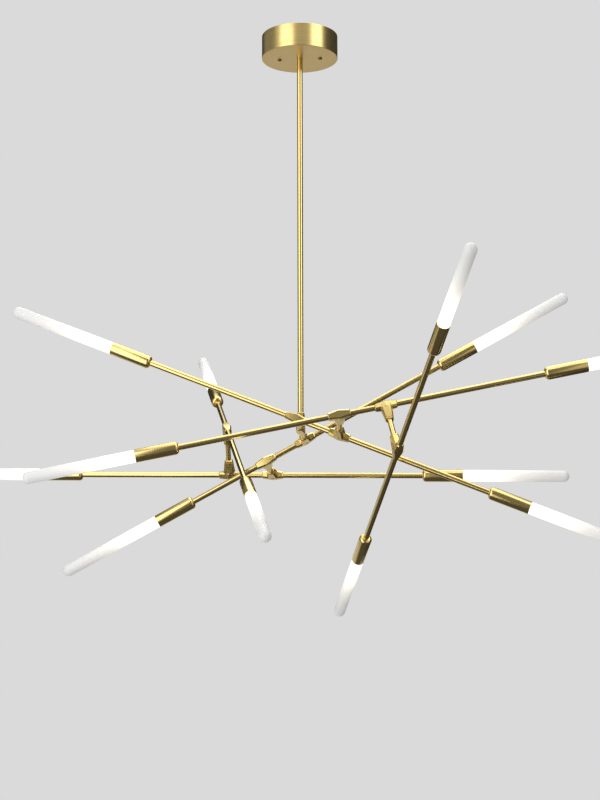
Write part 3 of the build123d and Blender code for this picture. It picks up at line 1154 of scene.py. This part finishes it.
@dataclass
class Screw:
    """Long screw with a domed head and a cross recess."""

    shank: float = 2.0 * MM
    length: float = 46.8 * MM
    head: float = 4.3 * MM
    head_height: float = 3.2 * MM
    land: float = 0.7 * MM
    recess_length: float = 4.6 * MM
    recess_width: float = 0.9 * MM
    recess_depth: float = 1.3 * MM
    edge: float = 0.12 * MM
    facets: int = 32
    dome_steps: int = 8

    def build(self, name: str, spot: Spot, dress: Dress) -> bpy.types.Object:
        """Turn the screw and press the cross into its head.

        Args:
            name: The piece's name.
            spot: Where the head sits, pointing out of it.
            dress: What it wears.

        Returns:
            The finished screw.
        """
        rise = self.head_height - self.land
        sphere = (self.head**2 + rise**2) / (2 * rise)
        reach = math.degrees(math.asin(self.head / sphere))
        outline = [
            (0.0, -self.length),
            (self.shank, -self.length),
            (self.shank, 0.0),
            (self.head, 0.0),
        ]
        outline += arc((0.0, self.head_height - sphere), sphere, 90 - reach, 90, self.dome_steps)
        outline[-1] = (0.0, self.head_height)
        body = as_object(name, Workpiece(name).turn(outline, self.facets).bm)
        cutter = bmesh.new()
        for size in (
            (self.recess_length, self.recess_width, 2 * self.recess_depth),
            (self.recess_width, self.recess_length, 2 * self.recess_depth),
        ):
            bar = Matrix.Translation((0, 0, self.head_height)) @ Matrix.Diagonal((*size, 1.0))
            bmesh.ops.create_cube(cutter, size=1.0, matrix=bar)
        mesh = joined(body, [("DIFFERENCE", as_object("cross_recess", cutter))], self.edge)
        return Workpiece(name).set_in_place(spot, dress, mesh)


@dataclass
class Canopy:
    """Drum canopy and its screws."""

    radius: float = 76.0 * MM
    height: float = 47.0 * MM
    wall: float = 1.2 * MM
    edge: float = 0.8 * MM
    rod_hole: float = 6.2 * MM
    screw_offset: float = 41.0 * MM
    screw_line: float = -6.0
    softening: float = 0.2 * MM
    facets: int = 128
    edge_steps: int = 6
    flat_above: float = 0.7
    screw: Screw = field(default_factory=Screw)
    body: str = "ceiling_mount"

    def build(self, finishes: Finishes) -> None:
        """Build the canopy's shell and its two screws.

        Args:
            finishes: The materials.
        """
        inside = self.radius - self.wall
        outline = [(self.rod_hole, -self.height)]
        corner = (self.radius - self.edge, self.edge - self.height)
        outline += arc(corner, self.edge, -90, 0, self.edge_steps)
        outline += [
            (self.radius, 0.0),
            (inside, 0.0),
            (inside, self.wall - self.height),
            (self.rod_hole, self.wall - self.height),
        ]
        spot = Spot(Vector((0, 0, 0)), Vector((0, 0, 1)), Vector((1, 0, 0)))
        dress = Dress(finishes.canopy, "canopy_brass", self.body, ("canopy",))
        shell = Workpiece("canopy_shell").turn(outline, self.facets).soften(self.softening)
        piece = shell.set_in_place(spot, dress)
        piece.data.materials.append(finishes.canopy_face)
        for face in piece.data.polygons:
            face.material_index = int(abs(face.normal.z) > self.flat_above)
        screw_dress = Dress(finishes.screw, "canopy_brass", self.body, ("canopy_screws",))
        for side, turn in (("right", 0.0), ("left", 180.0)):
            self.screw.build(f"canopy_screw_{side}", self.screw_spot(turn), screw_dress)

    def screw_spot(self, turn: float) -> Spot:
        """Where a screw meets the canopy's face, pointing down.

        Args:
            turn: Degrees round the canopy from the line of the screws.

        Returns:
            The place.
        """
        angle = math.radians(self.screw_line + turn)
        outward = Vector((math.cos(angle), math.sin(angle), 0.0))
        place = outward * self.screw_offset - Vector((0, 0, self.height))
        return Spot(place, Vector((0, 0, -1)), outward)


@dataclass
class Drop:
    """Drop rod, centre tee and the two rods that leave it."""

    centre: Vector
    forward: Vector
    rod: Rod = field(default_factory=lambda: Rod(5.6 * MM, 4.4 * MM))
    flange: tuple[float, float, float] = (8.9 * MM, 2.95 * MM, 3.0 * MM)
    link: Rod = field(default_factory=lambda: Rod(5.0 * MM, 3.8 * MM))
    link_start: float = 10.65 * MM
    link_end: float = 85.0 * MM
    tee: Tee = field(default_factory=Tee)
    facets: int = 48
    body: str = "drop"

    def build(self, finishes: Finishes) -> None:
        """Build the drop's visible pieces.

        Args:
            finishes: The materials.
        """
        up = Vector((0, 0, 1))
        mesh = self.tee.shape("centre_joint", self.link.radius, self.rod.radius)
        dress = Dress(finishes.tee, "tee_brass", self.body, ("centre_tee",))
        spot = Spot(self.centre, up, self.forward)
        Workpiece("centre_joint").set_in_place(spot, dress, mesh, self.tee.crease)
        low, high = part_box("drop_rod")
        length = high.z - low.z
        radius, from_top, thickness = self.flange
        outline = [
            (self.rod.bore, 0.0),
            (self.rod.radius, 0.0),
            (self.rod.radius, length - from_top - thickness),
            (radius, length - from_top - thickness),
            (radius, length - from_top),
            (self.rod.radius, length - from_top),
            (self.rod.radius, length),
            (self.rod.bore, length),
        ]
        rod_dress = Dress(finishes.tube, "tube_brass", self.body, ("drop_rod",))
        bottom = Spot(Vector((0, 0, low.z)), up, self.forward)
        tube = Workpiece("drop_tube").turn(outline, self.facets).soften(self.rod.softening)
        tube.set_in_place(bottom, rod_dress)
        link_dress = Dress(finishes.tube, "tube_brass", self.body, ("centre_link_rods",))
        for side, direction in (("front", self.forward), ("rear", -self.forward)):
            start = Spot(self.centre, direction, up).moved(self.link_start)
            length = self.link_end - self.link_start
            self.link.build(f"centre_link_{side}", start, length, link_dress)


# --- studio ----------------------------------------------------------------------------------

ARMS_MIDDLE = Vector((0.0, 0.0, -0.82))
FLAG_SPAN = 8.0


def bearing(azimuth: float, elevation: float, distance: float) -> Vector:
    """A point round the arms.

    Args:
        azimuth: Degrees to the right of the camera's side, seen from above.
        elevation: Degrees above the arms' level.
        distance: Metres from the middle of the arms.

    Returns:
        The point.
    """
    turn, rise = math.radians(azimuth), math.radians(elevation)
    flat = Vector((math.sin(turn), -math.cos(turn), 0.0)) * math.cos(rise)
    return ARMS_MIDDLE + (flat + Vector((0, 0, math.sin(rise)))) * distance


@dataclass(frozen=True)
class Softbox:
    """A soft rectangular studio lamp that faces the arms. A glare of 1 looks white."""

    name: str
    azimuth: float
    elevation: float
    distance: float
    size: tuple[float, float]
    glare: float

    def build(self) -> None:
        """Hang the lamp and turn it to the arms."""
        data = bpy.data.lights.new(self.name, "AREA")
        data.shape = "RECTANGLE"
        data.size, data.size_y = self.size
        data.energy = 4 * self.size[0] * self.size[1] * self.glare
        lamp = bpy.data.objects.new(self.name, data)
        bpy.context.scene.collection.objects.link(lamp)
        at = bearing(self.azimuth, self.elevation, self.distance)
        lamp.location = at
        lamp.rotation_euler = (ARMS_MIDDLE - at).to_track_quat("-Z", "Y").to_euler()


@dataclass(frozen=True)
class Flag:
    """A matt grey screen, curved round the arms, that only reflections meet."""

    name: str
    azimuths: tuple[float, float]
    elevations: tuple[float, float]
    distance: float
    shade: float

    def build(self) -> None:
        """Curve the screen from its first azimuth to its last."""
        first, last = self.azimuths
        bm = bmesh.new()
        verts = [bm.verts.new(bearing(first, rise, self.distance)) for rise in self.elevations]
        edge = bm.edges.new(verts)
        bmesh.ops.spin(
            bm,
            geom=verts + [edge],
            cent=ARMS_MIDDLE,
            axis=(0, 0, 1),
            angle=math.radians(last - first),
            steps=max(2, round(abs(last - first) / FLAG_SPAN)),
            use_merge=False,
        )
        flag = as_object(self.name, bm)
        flag.visible_camera = False
        flag.visible_diffuse = False
        flag.visible_shadow = False
        material, graph = new_material(self.name)
        matte = graph.feed(graph.node("ShaderNodeBsdfDiffuse"), Color=neutral(self.shade))
        graph.show("Material", matte)
        flag.data.materials.append(material)


SOFTBOXES = (
    Softbox("overhead", 90, 86, 2.3, (2.2, 2.4), 0.85),
    Softbox("front_top", 0, 54, 2.6, (1.3, 0.5), 1.3),
    Softbox("rear_top", 178, 62, 2.4, (2.0, 0.9), 1.8),
    Softbox("left_strip", -40, -1, 2.7, (2.0, 4.9), 1.3),
    Softbox("right_strip", 53, 38, 3.0, (1.5, 2.5), 1.35),
)
FLAGS = (
    Flag("front_flag", (-12, 24), (-30, 20), 3.9, 0.32),
    Flag("front_high_flag", (-18, 30), (20, 42), 3.9, 0.42),
    Flag("right_flag", (74, 160), (-60, 44), 3.6, 0.05),
    Flag("rear_flag", (160, 225), (8, 46), 3.8, 0.06),
    Flag("left_flag", (225, 284), (-20, 50), 3.8, 0.38),
)


@dataclass
class Studio:
    """Camera, lamps, flags, floor and background."""

    grey: float = 0.7011
    room: float = 0.3
    camera_at: tuple[float, float, float] = (-0.0013, -4.3483, -1.7636)
    camera_pitch: float = 13.11
    camera_roll: float = -0.149
    lens: float = 103.49
    sensor: float = 36.0
    sight: float = 60.0
    floor_height: float = -3.4
    floor_reach: float = 30.0
    floor_shade: float = 0.2
    floor_lift: float = 0.62
    floor_bounce: float = 0.42
    mirrored_centre: tuple[float, float] = (0.3, -0.4)
    mirrored_reach: tuple[float, float] = (3.2, 5.4)
    mirrored_tones: tuple[float, float] = (0.07, 0.6)

    def build_camera(self) -> None:
        """The camera at the photograph's angle, looking slightly up."""
        data = bpy.data.cameras.new("camera")
        data.lens = self.lens
        data.sensor_width = self.sensor
        data.sensor_fit = "AUTO"
        data.clip_end = self.sight
        camera = bpy.data.objects.new("camera", data)
        bpy.context.scene.collection.objects.link(camera)
        pitch = Matrix.Rotation(math.radians(90 + self.camera_pitch), 4, "X")
        roll = Matrix.Rotation(math.radians(self.camera_roll), 4, "Z")
        camera.matrix_world = Matrix.Translation(self.camera_at) @ pitch @ roll
        bpy.context.scene.camera = camera

    def build_world(self) -> None:
        """Flat grey background, which metal and glass also show."""
        world = bpy.data.worlds.new("background")
        bpy.context.scene.world = world
        world.use_nodes = True
        graph = Graph(world.node_tree)
        rays = graph.node("ShaderNodeLightPath").outputs
        seen = graph.math("MAXIMUM", rays["Is Camera Ray"], rays["Is Transmission Ray"])
        seen = graph.math("MAXIMUM", seen, rays["Is Glossy Ray"])
        room, flat = (
            graph.feed(graph.node("ShaderNodeBackground"), Color=neutral(shade), Strength=1.0)
            for shade in (self.room, self.grey)
        )
        graph.show("World", graph.mix(seen, room, flat))

    def build_floor(self) -> None:
        """A wide floor, pale to the eye and dark below the arms in their reflections."""
        bm = bmesh.new()
        bmesh.ops.create_grid(bm, x_segments=1, y_segments=1, size=self.floor_reach)
        bmesh.ops.translate(bm, verts=bm.verts, vec=(0, 0, self.floor_height))
        floor = as_object("floor", bm)
        material, graph = new_material("floor")
        rays = graph.node("ShaderNodeLightPath").outputs
        away = graph.node("ShaderNodeVectorMath", operation="DISTANCE")
        graph.put(away.inputs[0], Place.OBJECT.read(graph))
        graph.put(away.inputs[1], (*self.mirrored_centre, self.floor_height))
        spread = graph.node("ShaderNodeMapRange", interpolation_type="SMOOTHSTEP")
        near, far = self.mirrored_reach
        graph.feed(spread, Value=away.outputs["Value"], From_Min=near, From_Max=far)
        dark, pale = (neutral(tone) for tone in self.mirrored_tones)
        tone = graph.blend(spread.outputs["Result"], dark, pale)
        mirrored = graph.feed(graph.node("ShaderNodeEmission"), Color=tone, Strength=1.0)
        matt = graph.feed(graph.node("ShaderNodeBsdfDiffuse"), Color=neutral(self.floor_shade))
        strength = graph.remap(rays["Is Camera Ray"], self.floor_bounce, self.floor_lift)
        lift = graph.feed(graph.node("ShaderNodeEmission"), Color=neutral(1.0), Strength=strength)
        ground = graph.node("ShaderNodeAddShader")
        graph.put(ground.inputs[0], matt.outputs[0])
        graph.put(ground.inputs[1], lift.outputs[0])
        graph.show("Material", graph.mix(rays["Is Glossy Ray"], ground, mirrored))
        floor.data.materials.append(material)

    def build(self) -> None:
        """Set up the whole studio."""
        self.build_camera()
        for thing in SOFTBOXES + FLAGS:
            thing.build()
        self.build_world()
        self.build_floor()
        bpy.context.scene.view_settings.view_transform = "Standard"


# --- the chandelier --------------------------------------------------------------------------


NODE_FINISHES = (
    ("lampholders", "holder"),
    ("lamps", "lamp"),
)
LONG_REACH = 384.0 * MM
SHORT_REACH = 244.0 * MM


class Chandelier:
    """The whole light: ceiling end, drop and two chains of three arms."""

    def __init__(self) -> None:
        """Read the layout and the finishes."""
        self.layout = Layout(frame["joints"])
        self.finishes = Finishes()
        self.centre = self.layout.middle("centre_link_rods")

    def chain(self, names: tuple[str, str, str], reaches: tuple) -> list[Arm]:
        """One chain of three arms, from the centre outwards.

        Args:
            names: The arms' names.
            reaches: The reach of each arm's two ends.

        Returns:
            The three arms.
        """
        arms = []
        before = self.centre
        for index, name in enumerate(names):
            side = Side.UPPER_LOWER if name.endswith("cross") else Side.LEFT_RIGHT
            arm = Arm(name, self.layout, side, before, reaches[index])
            if index + 1 < len(names):
                before = arm.add_branch(self.layout.hinge(f"{names[index + 1]}_swing"))
            arms.append(arm)
        return arms

    def dress_nodes(self) -> None:
        """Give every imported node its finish. All but the lamps and their holders are zinc."""
        for name, node in frame["nodes"].items():
            material = self.finishes.zinc
            for ending, finish in NODE_FINISHES:
                if name.endswith(ending):
                    material = getattr(self.finishes, finish)
            node.data.materials.clear()
            node.data.materials.append(material)

    def build(self) -> None:
        """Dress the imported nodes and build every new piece."""
        self.dress_nodes()
        long_arm = (LONG_REACH, LONG_REACH)
        short_arm = (SHORT_REACH, LONG_REACH)
        front = self.chain(
            ("inner_front", "outer_front", "right_cross"), (long_arm, long_arm, long_arm)
        )
        rear = self.chain(
            ("inner_rear", "outer_rear", "left_cross"), (short_arm, long_arm, short_arm)
        )
        for arm in front + rear:
            arm.build(self.finishes)
        Canopy().build(self.finishes)
        forward = (front[0].carrier - self.centre).normalized()
        Drop(self.centre, forward).build(self.finishes)


def main() -> None:
    """Build the chandelier in its studio."""
    logging.basicConfig(level=logging.INFO, format="%(message)s")
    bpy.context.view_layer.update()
    Chandelier().build()
    Studio().build()


if __name__ == "__main__":
    main()
